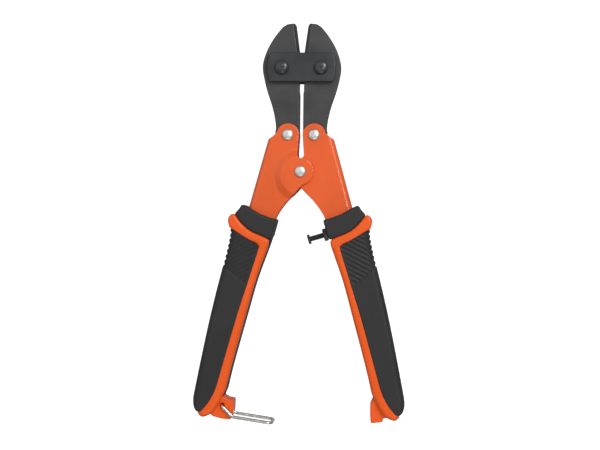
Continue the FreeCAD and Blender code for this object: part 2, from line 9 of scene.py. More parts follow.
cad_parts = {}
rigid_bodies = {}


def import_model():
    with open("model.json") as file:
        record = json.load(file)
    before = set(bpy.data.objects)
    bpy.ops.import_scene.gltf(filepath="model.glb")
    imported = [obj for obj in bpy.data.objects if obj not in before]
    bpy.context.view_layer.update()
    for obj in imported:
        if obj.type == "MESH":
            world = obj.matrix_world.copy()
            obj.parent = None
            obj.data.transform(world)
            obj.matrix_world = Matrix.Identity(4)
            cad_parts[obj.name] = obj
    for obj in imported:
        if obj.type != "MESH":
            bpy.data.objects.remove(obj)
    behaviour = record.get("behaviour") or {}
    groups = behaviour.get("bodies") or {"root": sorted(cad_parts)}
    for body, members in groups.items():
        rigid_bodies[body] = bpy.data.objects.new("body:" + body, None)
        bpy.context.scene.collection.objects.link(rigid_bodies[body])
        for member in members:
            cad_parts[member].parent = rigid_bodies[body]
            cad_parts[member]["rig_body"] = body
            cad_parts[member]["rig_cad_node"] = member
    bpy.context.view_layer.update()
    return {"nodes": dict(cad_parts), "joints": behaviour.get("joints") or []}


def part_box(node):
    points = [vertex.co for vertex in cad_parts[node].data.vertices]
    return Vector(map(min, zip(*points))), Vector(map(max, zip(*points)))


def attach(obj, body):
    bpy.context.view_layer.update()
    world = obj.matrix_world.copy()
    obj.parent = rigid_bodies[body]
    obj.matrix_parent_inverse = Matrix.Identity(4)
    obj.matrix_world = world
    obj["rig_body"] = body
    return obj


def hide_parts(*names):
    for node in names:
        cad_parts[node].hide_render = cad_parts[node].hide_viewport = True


bl_info = {
    "name": "Bolt Cutters",
    "version": (1, 0, 0),
    "blender": (4, 5, 0),
    "location": "View3D > Sidebar > Bolt Cutters",
    "description": "Finishes the pieces of a pair of hand bolt cutters round their packed frame",
    "category": "Object",
}

# Lengths in the outlines are millimetres from the centre pivot, for the right-hand side of
# the tool; hand -1 mirrors them for the left-hand side. Meshes are in metres.

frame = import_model()

MM = 0.001
HANDS = (("left", -1), ("right", 1))


def middle_of(node):
    """Middle of a node's box."""
    low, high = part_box(node)
    return (low + high) / 2


PIVOT = middle_of("center_rivet")
HALF_PANEL = PIVOT.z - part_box("right_grip_panel")[0].z
HALF_GRIP = PIVOT.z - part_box("right_grip_body")[0].z
HALF_COLLAR = PIVOT.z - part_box("right_collar")[0].z
HALF_CHANNEL = PIVOT.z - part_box("right_handle_channel")[0].z
HALF_LAPPED = PIVOT.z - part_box("left_handle_channel")[0].z
HALF_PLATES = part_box("front_link_plate")[1].z - PIVOT.z
HALF_LUG = 5.5 * MM

# Sizes that the frame doesn't hold. An inset is from a grip's front and rear faces.
BRIGHT_SHANK = 2.0 * MM
BLACK_SHANK = 2.6 * MM
WIRE_RADIUS = 0.85 * MM
WIRE_BORE = 1.15 * MM
COLLAR_BORE = 1.7 * MM
COLLAR_BORE_DEPTH = 14 * MM
NUT_BORE = 1.5 * MM
RIDGE_INSET = 0.02 * MM
FILLER_INSET = 1.4 * MM
# The next two are sizes of the dark strips that are partly painted shade on the grips' inner sides.
SHADE_STRIP_INSET = 3.4 * MM
SHADE_STRIP_ROUND = 0.35 * MM


# ------------------------ settings

def length(name, description, default):
    """A size that the user can change."""
    return FloatProperty(name=name, description=description, default=default,
                         min=0.0, subtype="DISTANCE", unit="LENGTH", precision=5)


def colour(name, description, default):
    """A tint that the user can change."""
    return FloatVectorProperty(name=name, description=description, default=default,
                               min=0.0, max=1.0, size=3, subtype="COLOR")


class BOLTCUTTER_PG_head(bpy.types.PropertyGroup):
    blade_edge: length("Blade edge", "Broken edge of the forged jaws", 0.45 * MM)
    plate_edge: length("Plate edge", "Rounded rim of the link plates", 0.5 * MM)
    channel_edge: length("Channel edge", "Rounded edge of the painted sheet metal", 0.3 * MM)
    channel_bend: length("Channel bend", "Outer radius where the sheet is bent", 3.3 * MM)
    press_grain: length("Press grain", "Voxel size of the lapped channel", 0.28 * MM)
    press_passes: IntProperty(name="Press passes", description="Smoothing of the lapped channel",
                              default=11, min=0)


class BOLTCUTTER_PG_grip(bpy.types.PropertyGroup):
    body_round: length("Body round", "Rounded inner edge of the plastic body", 2.3 * MM)
    ridge_round: length("Ridge round", "Rounded edge of the thumb ridge", 1.4 * MM)
    lug_round: length("Lug round", "Rounded edge of the foot lug", 0.7 * MM)
    collar_round: length("Collar round", "Rounded edge of the collar", 1.0 * MM)
    panel_round: length("Panel round", "Rounded outer side of the rubber panel", 3.6 * MM)
    mould_grain: length("Mould grain", "Voxel size of the bodies and collars", 0.34 * MM)
    mould_passes: IntProperty(name="Mould passes", description="Smoothing of the moulded pieces",
                              default=4, min=0)
    panel_skin: length("Panel skin", "Thickness of the rubber", 0.6 * MM)
    rib_pitch: length("Rib pitch", "Distance from one thumb rib to the next", 2.15 * MM)
    rib_height: length("Rib height", "Depth of the grooves between the ribs", 0.68 * MM)


class BOLTCUTTER_PG_finish(bpy.types.PropertyGroup):
    paint: colour("Paint", "Enamel on the pressed handles", (0.76, 0.098, 0.006))
    plastic: colour("Plastic", "Grip bodies", (0.84, 0.104, 0.008))
    rubber: colour("Rubber", "Panels and collars", (0.022, 0.0215, 0.022))
    blade: colour("Blade", "Blackened jaw steel", (0.056, 0.056, 0.057))
    plate: colour("Plate", "Blackened link plates", (0.044, 0.046, 0.050))
    black: colour("Black fittings", "Jaw rivets, stop screw and locknut", (0.034, 0.033, 0.033))
    bright: colour("Bright rivets", "Plated rivets and wire", (0.74, 0.73, 0.70))


class BOLTCUTTER_PG_stage(bpy.types.PropertyGroup):
    distance: length("Camera distance", "From the lens to the tool's middle", 0.59)
    width: length("Seen width", "Width that the camera sees at the tool", 0.312)
    aside: FloatProperty(name="Aside", description="Camera's lean to the tool's right",
                         default=math.radians(4.0), subtype="ANGLE", unit="ROTATION")
    roll: FloatProperty(name="Roll", description="Camera's turn about its line of sight",
                        default=math.radians(0.57), subtype="ANGLE", unit="ROTATION")


# ------------------------ outlines

def curve_through(points, steps):
    """Points of a smooth curve through a few given ones."""
    flat = [Vector((x, y, 0)) for x, y in points]
    ends = [2 * flat[0] - flat[1]] + flat + [2 * flat[-1] - flat[-2]]
    result = []
    for before, here, there, after in zip(ends, ends[1:], ends[2:], ends[3:]):
        handle_out = here + (there - before) / 6
        handle_in = there - (after - here) / 6
        span = interpolate_bezier(here, handle_out, handle_in, there, steps + 1)
        result += span[:-1]
    result.append(flat[-1])
    return [(point.x, point.y) for point in result]


def outline(*runs):
    """Join straight and smooth runs; a run is a list of points, or (steps, points) if smooth."""
    result = []
    for run in runs:
        points = curve_through(run[1], run[0]) if isinstance(run, tuple) else run
        if result and (Vector(points[0]) - Vector(result[-1])).length < 1e-6:
            points = points[1:]
        result += points
    if (Vector(result[0]) - Vector(result[-1])).length < 1e-6:
        result.pop()
    return result


def in_frame(points, hand):
    """Outline points in metres in the row frame, mirrored for the left hand."""
    return [(PIVOT.x + hand * x * MM, PIVOT.y + y * MM) for x, y in points]


# ------------------------ modelling

def deselect():
    """Leave edit mode, with nothing selected."""
    if bpy.context.object and bpy.context.object.mode != "OBJECT":
        bpy.ops.object.mode_set(mode="OBJECT")
    bpy.ops.object.select_all(action="DESELECT")


def only(piece):
    """Make one object the selected and active one."""
    deselect()
    piece.select_set(True)
    bpy.context.view_layer.objects.active = piece


def edit(piece, select="SELECT"):
    """Open a piece in edit mode with all or none of it selected."""
    only(piece)
    bpy.ops.object.mode_set(mode="EDIT")
    bpy.ops.mesh.select_mode(type="VERT")
    bpy.ops.mesh.select_all(action=select)


def done():
    """Go back to object mode."""
    bpy.ops.object.mode_set(mode="OBJECT")


def outward(piece):
    """Merge doubles and point every face outwards."""
    edit(piece)
    bpy.ops.mesh.remove_doubles(threshold=1e-6)
    bpy.ops.mesh.normals_make_consistent(inside=False)
    done()


def apply_modifier(piece, kind, **settings):
    """Add a modifier, set it up and apply it."""
    only(piece)
    modifier = piece.modifiers.new(kind.title(), kind)
    for name, value in settings.items():
        setattr(modifier, name, value)
    bpy.ops.object.modifier_apply(modifier=modifier.name)


def round_edges(piece, width, segments, angle):
    """Round every edge sharper than an angle."""
    apply_modifier(piece, "BEVEL", width=width, segments=segments, limit_method="ANGLE",
                   angle_limit=math.radians(angle), use_clamp_overlap=False,
                   miter_outer="MITER_ARC")


def soften(piece, grain, passes):
    """Even a closed piece out into one soft skin, as a mould or a press leaves it."""
    apply_modifier(piece, "REMESH", mode="VOXEL", voxel_size=grain)
    apply_modifier(piece, "SMOOTH", factor=0.5, iterations=passes)
    apply_modifier(piece, "DECIMATE", ratio=0.4)


def smooth(piece, angle=38):
    """Shade smooth with sharp edges kept, and keep broad faces flat."""
    only(piece)
    bpy.ops.object.shade_smooth_by_angle(angle=math.radians(angle))
    apply_modifier(piece, "WEIGHTED_NORMAL", keep_sharp=True, weight=80)


def slab(name, points, hand, half):
    """A flat piece with a given outline, centred on the pivot's height."""
    points = in_frame(points, hand)
    low, high = PIVOT.z - half, PIVOT.z + half
    deselect()
    bpy.ops.mesh.primitive_circle_add(vertices=len(points), radius=0.01, fill_type="NGON")
    piece = bpy.context.object
    piece.name = name
    for vertex, (x, y) in zip(piece.data.vertices, points):
        vertex.co = (x, y, low)
    piece.matrix_world = Matrix.Identity(4)
    edit(piece)
    bpy.ops.mesh.extrude_region_move(TRANSFORM_OT_translate={"value": (0, 0, high - low)})
    bpy.ops.mesh.select_all(action="SELECT")
    bpy.ops.mesh.normals_make_consistent(inside=False)
    done()
    return piece


def turned(name, profile, vertices=56):
    """A round piece about Z, raised ring by ring; the profile is (radius, height) pairs."""
    deselect()
    radius, height = profile[0]
    bpy.ops.mesh.primitive_circle_add(vertices=vertices, radius=radius, fill_type="NGON",
                                      location=(0, 0, height))
    piece = bpy.context.object
    piece.name = name
    bpy.ops.object.transform_apply(location=True, rotation=True, scale=True)
    edit(piece)
    for next_radius, next_height in profile[1:]:
        bpy.ops.mesh.extrude_region_move(
            TRANSFORM_OT_translate={"value": (0, 0, next_height - height)})
        grow = next_radius / radius
        bpy.ops.transform.resize(value=(grow, grow, 1), center_override=(0, 0, next_height))
        radius, height = next_radius, next_height
    bpy.ops.mesh.select_all(action="SELECT")
    bpy.ops.mesh.normals_make_consistent(inside=False)
    done()
    return piece


def put(piece, matrix):
    """Move a finished piece, and set its place into its mesh."""
    piece.matrix_world = matrix
    only(piece)
    bpy.ops.object.transform_apply(location=True, rotation=True, scale=True)


def cut(piece, tool):
    """Cut one piece with another and delete the tool."""
    apply_modifier(piece, "BOOLEAN", operation="DIFFERENCE", solver="EXACT", object=tool)
    bpy.data.objects.remove(tool)


def drill(piece, radius, low, high, matrix):
    """Cut a round hole between two heights, along the Z of a frame."""
    bore = turned("bore", [(radius, low), (radius, high)], 32)
    put(bore, matrix)
    cut(piece, bore)


def join(name, *pieces):
    """Join pieces into the first one."""
    deselect()
    for piece in pieces:
        piece.select_set(True)
    bpy.context.view_layer.objects.active = pieces[0]
    bpy.ops.object.join()
    pieces[0].name = name
    return pieces[0]


def copy_of(node, name):
    """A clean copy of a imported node, with its flat faces whole again."""
    only(frame["nodes"][node])
    bpy.ops.object.duplicate()
    piece = bpy.context.object
    bpy.ops.object.parent_clear(type="CLEAR_KEEP_TRANSFORM")
    piece.name = name
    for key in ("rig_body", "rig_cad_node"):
        if key in piece:
            del piece[key]
    edit(piece)
    bpy.ops.mesh.remove_doubles(threshold=2e-6)
    bpy.ops.mesh.dissolve_limited(angle_limit=math.radians(0.6))
    bpy.ops.mesh.normals_make_consistent(inside=False)
    done()
    return piece


def finish_piece(piece, finish, slot, body, *nodes):
    """Give a piece its material, its body and the nodes it stands for."""
    piece.data.materials.clear()
    piece.data.materials.append(MATERIALS[finish])
    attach(piece, body)
    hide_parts(*nodes)


def finish_node(node, finish):
    """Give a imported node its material."""
    item = frame["nodes"][node]
    item.data.materials.clear()
    item.data.materials.append(MATERIALS[finish])


# ------------------------ shader groups

def new_group(name, outputs, **inputs):
    """Start a shader group of number sockets, each input with its default."""
    group = bpy.data.node_groups.new(name, "ShaderNodeTree")
    for socket, default in inputs.items():
        entry = group.interface.new_socket(name=socket.replace("_", " "), in_out="INPUT",
                                           socket_type="NodeSocketFloat")
        entry.default_value = default
    for socket in outputs:
        group.interface.new_socket(name=socket, in_out="OUTPUT", socket_type="NodeSocketFloat")
    return group, group.nodes.new("NodeGroupInput"), group.nodes.new("NodeGroupOutput")


def set_inputs(node, values):
    """Set values on a node's inputs; an underscore stands for a space."""
    for socket, value in values.items():
        node.inputs[socket.replace("_", " ")].default_value = value


def add_node(tree, kind, operation=None, **values):
    """Add a shader node with its operation and the values on its inputs."""
    node = tree.nodes.new("ShaderNode" + kind)
    if operation:
        node.operation = operation
    set_inputs(node, values)
    return node


def connect(tree, *links):
    """Join sockets; each link is (node, output, node, input)."""
    for source, output, target, entry in links:
        tree.links.new(source.outputs[output], target.inputs[entry])


def grain_group():
    """Fine grain over broad cloudiness, for moulded, cast and painted surfaces."""
    group, start, end = new_group("surface_grain", ("Height", "Cloud"), Grain_Scale=900.0,
                                  Cloud_Scale=60.0)
    place = add_node(group, "TexCoord")
    fine = add_node(group, "TexNoise", Detail=4.0, Roughness=0.6)
    broad = add_node(group, "TexNoise", Detail=3.0)
    connect(group,
            (place, "Object", fine, "Vector"), (place, "Object", broad, "Vector"),
            (start, "Grain Scale", fine, "Scale"), (start, "Cloud Scale", broad, "Scale"),
            (fine, "Fac", end, "Height"), (broad, "Fac", end, "Cloud"))
    return group


def brushed_group():
    """Fine lines along one direction, for ground and drawn steel."""
    group, start, end = new_group("brushed_lines", ("Height",), Along=60.0, Across=2600.0,
                                  Turn=0.0)
    place = add_node(group, "TexCoord")
    turn = add_node(group, "VectorRotate")
    turn.rotation_type = "Z_AXIS"
    stretch = add_node(group, "VectorMath", "MULTIPLY")
    scales = add_node(group, "CombineXYZ")
    noise = add_node(group, "TexNoise", Scale=1.0, Detail=3.0)
    connect(group,
            (place, "Object", turn, "Vector"), (start, "Turn", turn, "Angle"),
            (start, "Along", scales, "X"), (start, "Across", scales, "Y"),
            (start, "Across", scales, "Z"), (turn, "Vector", stretch, 0),
            (scales, "Vector", stretch, 1), (stretch, "Vector", noise, "Vector"),
            (noise, "Fac", end, "Height"))
    return group


def wear_group():
    """Mask of rubbed edges, broken up by noise."""
    group, start, end = new_group("edge_wear", ("Mask",), Reach=0.5 * MM, Amount=1.0)
    rounded = add_node(group, "Bevel")
    rounded.samples = 6
    plain = add_node(group, "NewGeometry")
    likeness = add_node(group, "VectorMath", "DOT_PRODUCT")
    sharp = add_node(group, "MapRange", From_Min=0.995, From_Max=0.90)
    place = add_node(group, "TexCoord")
    patches = add_node(group, "TexNoise", Scale=420.0, Detail=5.0)
    gate = add_node(group, "MapRange", From_Min=0.42, From_Max=0.66)
    both = add_node(group, "Math", "MULTIPLY")
    scaled = add_node(group, "Math", "MULTIPLY")
    connect(group,
            (start, "Reach", rounded, "Radius"), (rounded, "Normal", likeness, 0),
            (plain, "Normal", likeness, 1), (likeness, "Value", sharp, "Value"),
            (place, "Object", patches, "Vector"), (patches, "Fac", gate, "Value"),
            (sharp, "Result", both, 0), (gate, "Result", both, 1),
            (both, "Value", scaled, 0), (start, "Amount", scaled, 1),
            (scaled, "Value", end, "Mask"))
    return group


GROUPS = {}


def shared(name):
    """Build a shader group once."""
    makers = {"grain": grain_group, "brushed": brushed_group, "wear": wear_group}
    if name not in GROUPS:
        GROUPS[name] = makers[name]()
    return GROUPS[name]


# Colour sockets of a Mix node.
MIX_FIRST, MIX_SECOND, MIX_RESULT = 6, 7, 2


def shade(tint, factor):
    """A lighter or darker version of a colour, as a plain tuple."""
    return tuple(min(1.0, channel * factor) for channel in tint)


class Finish:
    """A material under construction: one Principled shader and what feeds it."""

    def __init__(self, name, **settings):
        self.material = bpy.data.materials.new(name)
        self.material.use_nodes = True
        self.tree = self.material.node_tree
        self.shader = self.tree.nodes["Principled BSDF"]
        set_inputs(self.shader, settings)

    def link(self, out_socket, in_socket):
        self.tree.links.new(out_socket, in_socket)

    def effect(self, name, **values):
        """Place a shared group with its own values."""
        node = self.tree.nodes.new("ShaderNodeGroup")
        node.node_tree = shared(name)
        set_inputs(node, values)
        return node

    def blend_colours(self, factor, first, second):
        """Mix two colours by a varying mask."""
        mix = self.tree.nodes.new("ShaderNodeMix")
        mix.data_type = "RGBA"
        self.link(factor, mix.inputs["Factor"])
        for socket, value in ((MIX_FIRST, first), (MIX_SECOND, second)):
            if isinstance(value, tuple):
                mix.inputs[socket].default_value = value + (1.0,)
            else:
                self.link(value, mix.inputs[socket])
        return mix.outputs[MIX_RESULT]

    def clouded(self, grain, tint, low, high):
        """A colour that drifts between a darker and a lighter shade of a tint."""
        mask = self.span(grain.outputs["Cloud"], 0, 1)
        return self.blend_colours(mask, shade(tint, low), shade(tint, high))

    def span(self, value, low, high):
        """Stretch the middle of a noise value over a range."""
        node = add_node(self.tree, "MapRange", From_Min=0.3, From_Max=0.7, To_Min=low,
                        To_Max=high)
        self.link(value, node.inputs["Value"])
        return node.outputs["Result"]

    def bump(self, height, depth, strength, under=None):
        """Add relief to the normal; depth is in metres."""
        node = add_node(self.tree, "Bump", Strength=strength, Distance=depth)
        self.link(height, node.inputs["Height"])
        if under:
            self.link(under, node.inputs["Normal"])
        self.link(node.outputs["Normal"], self.shader.inputs["Normal"])
        return node.outputs["Normal"]

    def colour(self, value):
        self.link(value, self.shader.inputs["Base Color"])

    def roughness(self, value):
        self.link(value, self.shader.inputs["Roughness"])


# ------------------------ finishes

def blackened_steel(name, tint, roughness, turn):
    """Forged steel with a satin black-oxide skin, ground faces and rubbed edges."""
    make = Finish(name, Metallic=0.55, Specular_IOR_Level=0.5)
    grain = make.effect("grain", Grain_Scale=2600.0, Cloud_Scale=90.0)
    lines = make.effect("brushed", Along=90.0, Across=3400.0, Turn=turn)
    wear = make.effect("wear", Reach=0.5 * MM, Amount=0.55)
    body = make.clouded(grain, tint, 0.86, 1.16)
    make.colour(make.blend_colours(wear.outputs["Mask"], body, shade(tint, 4.2)))
    make.roughness(make.span(grain.outputs["Cloud"], roughness - 0.05, roughness + 0.07))
    fine = make.bump(grain.outputs["Height"], depth=0.04 * MM, strength=0.55)
    make.bump(lines.outputs["Height"], depth=0.03 * MM, strength=0.45, under=fine)
    return make.material


def black_fitting(name, tint):
    """Glossy black-oxide rivet or screw."""
    make = Finish(name, Metallic=0.35, Coat_Weight=0.25, Coat_Roughness=0.18)
    grain = make.effect("grain", Grain_Scale=1800.0, Cloud_Scale=700.0)
    make.colour(make.clouded(grain, tint, 0.6, 1.8))
    make.roughness(make.span(grain.outputs["Cloud"], 0.26, 0.40))
    make.bump(grain.outputs["Height"], depth=0.03 * MM, strength=0.4)
    return make.material


def bright_steel(name, tint, roughness, turn):
    """Plated steel, softly brushed."""
    make = Finish(name, Metallic=1.0)
    grain = make.effect("grain", Grain_Scale=2200.0, Cloud_Scale=420.0)
    lines = make.effect("brushed", Along=200.0, Across=5200.0, Turn=turn)
    make.colour(make.clouded(grain, tint, 0.82, 1.1))
    make.roughness(make.span(grain.outputs["Cloud"], roughness - 0.05, roughness + 0.08))
    make.bump(lines.outputs["Height"], depth=0.02 * MM, strength=0.35)
    return make.material


def plated_rivet(name, tint):
    """Bright plated rivet head with a soft, slightly mottled shine."""
    make = Finish(name, Metallic=1.0)
    grain = make.effect("grain", Grain_Scale=900.0, Cloud_Scale=520.0)
    make.colour(make.clouded(grain, tint, 0.88, 1.08))
    make.roughness(make.span(grain.outputs["Cloud"], 0.34, 0.44))
    make.bump(grain.outputs["Height"], depth=0.02 * MM, strength=0.2)
    return make.material


def enamel(name, tint):
    """Glossy orange enamel with a little orange peel, thin on the edges."""
    make = Finish(name, Metallic=0.0, Coat_Weight=0.35, Coat_Roughness=0.12, IOR=1.5)
    grain = make.effect("grain", Grain_Scale=620.0, Cloud_Scale=45.0)
    wear = make.effect("wear", Reach=0.4 * MM, Amount=0.35)
    body = make.clouded(grain, tint, 0.93, 1.06)
    make.colour(make.blend_colours(wear.outputs["Mask"], body, shade(tint, 0.72)))
    make.roughness(make.span(grain.outputs["Cloud"], 0.30, 0.38))
    make.bump(grain.outputs["Height"], depth=0.06 * MM, strength=0.22)
    return make.material


def moulded_plastic(name, tint):
    """Orange moulded plastic with a fine spark-eroded grain."""
    make = Finish(name, Metallic=0.0, Specular_IOR_Level=0.38, IOR=1.47)
    grain = make.effect("grain", Grain_Scale=2400.0, Cloud_Scale=55.0)
    make.colour(make.clouded(grain, tint, 0.95, 1.05))
    make.roughness(make.span(grain.outputs["Cloud"], 0.31, 0.39))
    make.bump(grain.outputs["Height"], depth=0.06 * MM, strength=0.35)
    return make.material


def moulded_rubber(name, tint):
    """Black rubber with a fine grain and a faint bloom."""
    make = Finish(name, Metallic=0.0, Specular_IOR_Level=0.34, IOR=1.5)
    grain = make.effect("grain", Grain_Scale=1700.0, Cloud_Scale=70.0)
    make.colour(make.clouded(grain, tint, 0.88, 1.14))
    make.roughness(make.span(grain.outputs["Cloud"], 0.52, 0.66))
    make.bump(grain.outputs["Height"], depth=0.12 * MM, strength=0.55)
    return make.material


# The tool's finishes by name, filled by the finishes operator.
MATERIALS = {}


# ------------------------ operators

class BOLTCUTTER_OT_finishes(bpy.types.Operator):
    """Make the materials"""

    bl_idname = "boltcutter.finishes"
    bl_label = "Finishes"

    def execute(self, context):
        tints = context.scene.boltcutter_finish
        MATERIALS.update(
            blade=blackened_steel("blade_steel", tints.blade, roughness=0.44,
                                  turn=math.radians(80)),
            plate=blackened_steel("plate_steel", tints.plate, roughness=0.38, turn=0.0),
            black=black_fitting("black_fitting", tints.black),
            rivet=plated_rivet("bright_rivet", tints.bright),
            wire=bright_steel("bright_wire", tints.bright, roughness=0.2,
                              turn=math.radians(10)),
            steel=bright_steel("plain_steel", shade(tints.bright, 0.7), roughness=0.36,
                               turn=0.2),
            paint=enamel("orange_paint", tints.paint),
            plastic=moulded_plastic("orange_plastic", tints.plastic),
            rubber=moulded_rubber("black_rubber", tints.rubber),
        )
        return {"FINISHED"}


class BOLTCUTTER_OT_jaws(bpy.types.Operator):
    """Finish the two jaw blades with broken edges"""

    bl_idname = "boltcutter.jaws"
    bl_label = "Jaw blades"

    def execute(self, context):
        settings = context.scene.boltcutter_head
        for name, _ in HANDS:
            piece = copy_of(f"{name}_jaw_blade", f"{name}_jaw")
            round_edges(piece, settings.blade_edge, segments=3, angle=32)
            smooth(piece)
            finish_piece(piece, "blade", "blade_steel", f"{name}_jaw",
                         f"{name}_jaw_blade")
        return {"FINISHED"}


class BOLTCUTTER_OT_plates(bpy.types.Operator):
    """Finish the front and rear link plates"""

    bl_idname = "boltcutter.plates"
    bl_label = "Link plates"

    def execute(self, context):
        for name in ("front", "rear"):
            piece = copy_of(f"{name}_link_plate", f"{name}_plate")
            round_edges(piece, context.scene.boltcutter_head.plate_edge, segments=3, angle=50)
            smooth(piece)
            finish_piece(piece, "plate", "plate_steel", "link_plates",
                         f"{name}_link_plate")
        return {"FINISHED"}


def dome(radius, rise):
    """Profile of a domed head: a short upright lip, then a round cap."""
    lip = 0.28 * rise
    cap = rise - lip
    steps = 14
    profile = [(radius * 0.97, 0.0), (radius, lip * 0.3), (radius, lip)]
    for step in range(1, steps):
        turn = 0.5 * math.pi * step / steps
        profile.append((radius * math.cos(turn) ** 0.8, lip + cap * math.sin(turn)))
    profile.append((0.01 * radius, rise))
    return profile


def rivet_piece(name, place, radius, rise, half_grip, shank):
    """A rivet with a domed head on each end of its shank."""
    ends = []
    for turn in (0.0, math.pi):
        head = turned(f"{name}_head", dome(radius, rise))
        put(head, Matrix.Translation(place) @ Matrix.Rotation(turn, 4, "X")
            @ Matrix.Translation((0, 0, half_grip)))
        ends.append(head)
    reach = half_grip + 0.2 * rise
    bar = turned(f"{name}_shank", [(shank, -reach), (shank, reach)])
    put(bar, Matrix.Translation(place))
    piece = join(name, ends[0], ends[1], bar)
    smooth(piece, 50)
    return piece


class BOLTCUTTER_OT_rivets(bpy.types.Operator):
    """Turn the five rivets"""

    bl_idname = "boltcutter.rivets"
    bl_label = "Rivets"

    def execute(self, context):
        kinds = [("center_rivet", "left_handle", HALF_LAPPED, BRIGHT_SHANK,
                  "rivet", "bright_rivet")]
        for name, _ in HANDS:
            kinds.append((f"{name}_ear_rivet", f"{name}_handle", HALF_CHANNEL, BRIGHT_SHANK,
                          "rivet", "bright_rivet"))
            kinds.append((f"{name}_jaw_rivet", "link_plates", HALF_PLATES, BLACK_SHANK,
                          "black", "black_rivet"))
        for node, body, half_grip, shank, finish, slot in kinds:
            low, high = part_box(node)
            rise = (high.z - low.z) / 2 - half_grip
            piece = rivet_piece(node.replace("_rivet", "_pin"), (low + high) / 2,
                                (high.x - low.x) / 2, rise, half_grip, shank)
            finish_piece(piece, finish, slot, body, node)
        return {"FINISHED"}


class BOLTCUTTER_OT_channels(bpy.types.Operator):
    """Finish the two pressed-steel handle channels"""

    bl_idname = "boltcutter.channels"
    bl_label = "Handle channels"

    WEB_HEIGHT = 8.0 * MM
    WALL_REACH = 0.1 * MM
    LEVEL = 0.99

    def execute(self, context):
        settings = context.scene.boltcutter_head
        for name, hand in HANDS:
            piece = copy_of(f"{name}_handle_channel", f"{name}_channel")
            self.round_bends(piece, settings.channel_bend)
            if hand < 0:
                soften(piece, settings.press_grain, settings.press_passes)
            else:
                round_edges(piece, settings.channel_edge, segments=3, angle=50)
            smooth(piece, 40)
            finish_piece(piece, "paint", "orange_paint", f"{name}_handle",
                         f"{name}_handle_channel")
        return {"FINISHED"}

    def round_bends(self, piece, radius):
        """Round the two long bends between the web and the walls."""
        edit(piece, "DESELECT")
        done()
        mesh = piece.data
        webs, flats = set(), set()
        for face in mesh.polygons:
            heights = [mesh.vertices[index].co.z for index in face.vertices]
            if max(heights) - min(heights) > self.WEB_HEIGHT:
                webs.add(face.index)
            if abs(face.normal.z) > self.LEVEL:
                flats.add(face.index)
        users = {}
        for face in mesh.polygons:
            for key in face.edge_keys:
                users.setdefault(key, set()).add(face.index)
        for edge in mesh.edges:
            pair = users.get(edge.key, set())
            middle = (mesh.vertices[edge.vertices[0]].co + mesh.vertices[edge.vertices[1]].co) / 2
            edge.select = (len(pair & webs) == 1 and len(pair & flats) == 1
                           and abs(middle.z - PIVOT.z) > HALF_CHANNEL - self.WALL_REACH)
        bpy.ops.object.mode_set(mode="EDIT")
        bpy.ops.mesh.select_mode(type="EDGE")
        bpy.ops.mesh.bevel(offset=radius, offset_type="OFFSET", segments=7, affect="EDGES",
                           clamp_overlap=False)
        done()


# Grip outlines, in millimetres from the centre pivot.
RIDGE_TOP = [(15.6, -35.2), (19.6, -33.4), (23.5, -31.8), (27.2, -29.6), (30.9, -26.0),
             (33.8, -21.9)]
RIDGE_NOSE = [(33.8, -21.9), (35.9, -22.6), (37.2, -25.2), (36.4, -28.9)]
RIDGE_FOOT = [(36.4, -28.9), (32.1, -32.2), (27.8, -34.9), (22.6, -37.2), (20.6, -38.4)]
RIDGE_HEEL = [(21.0, -40.5), (16.35, -39.6)]
RIDGE_FOOT_SLOPE = 0.60
STRIPE_TOP = [(16.5, -39.5), (16.2, -37.0), (22.6, -37.0)]
INNER_SIDE = [(37.6, -113.0), (34.5, -100.0), (27.7, -75.0), (22.4, -56.0), (16.5, -39.5)]
HIDDEN_SIDE = [(22.6, -37.0), (23.2, -40.0), (28.0, -56.0), (34.0, -75.0), (41.1, -100.0),
               (44.4, -112.0), (47.2, -118.0), (50.8, -122.6)]
FILLER_SIDE = [(33.0, -30.5), (34.0, -43.7), (39.4, -64.5), (44.0, -85.0), (49.3, -112.0),
               (50.6, -119.0), (49.6, -122.0)]
FILLER_TOP = [(22.0, -37.0), (33.0, -30.5)]
FILLER_INNER = [(44.0, -117.0), (38.0, -104.0), (22.0, -50.0)]
FOOT_ROUND = [(50.8, -122.6), (52.0, -124.6), (51.4, -126.2), (49.3, -127.3), (44.9, -125.4),
              (41.4, -120.6), (37.6, -113.0)]
PANEL_INNER = [(20.0, -37.0), (20.7, -40.0), (25.7, -56.0), (31.7, -75.0), (38.8, -100.0),
               (42.3, -112.3), (45.8, -119.2), (48.9, -123.0), (50.6, -124.9)]
PANEL_OUTER = [(36.5, -28.0), (36.2, -32.5), (38.4, -43.7), (43.6, -64.5), (48.2, -85.0),
               (53.6, -112.0), (54.6, -118.4), (53.9, -122.4), (51.7, -125.0)]
LEFT_LUG = [(46.6, -119.5), (46.4, -125.3), (44.6, -127.1), (39.9, -128.3), (35.0, -128.8),
            (33.7, -124.1), (33.5, -118.4), (36.4, -118.1), (38.5, -116.9), (42.0, -115.0)]
RIGHT_LUG = [(46.6, -119.5), (46.6, -126.4), (44.8, -126.2), (43.3, -126.7), (43.8, -128.3),
             (37.3, -129.1), (37.0, -124.0), (37.0, -119.5), (38.4, -116.5), (42.0, -115.0)]
COLLAR_SHOULDER = [(33.8, -21.9), (31.4, -19.4), (30.0, -17.0)]
COLLAR_TOP = [(30.0, -17.0), (26.4, -18.7), (21.2, -21.8), (16.0, -23.8), (11.9, -24.8),
              (14.2, -33.3)]
# Ends of the dark strip along a grip's inner side, which is partly painted shade of that side.
SHADE_STRIP_FOOT = (39.4, -117.6)
SHADE_STRIP_TOP = [(15.7, -37.2), (14.4, -33.3), (13.2, -29.0)]


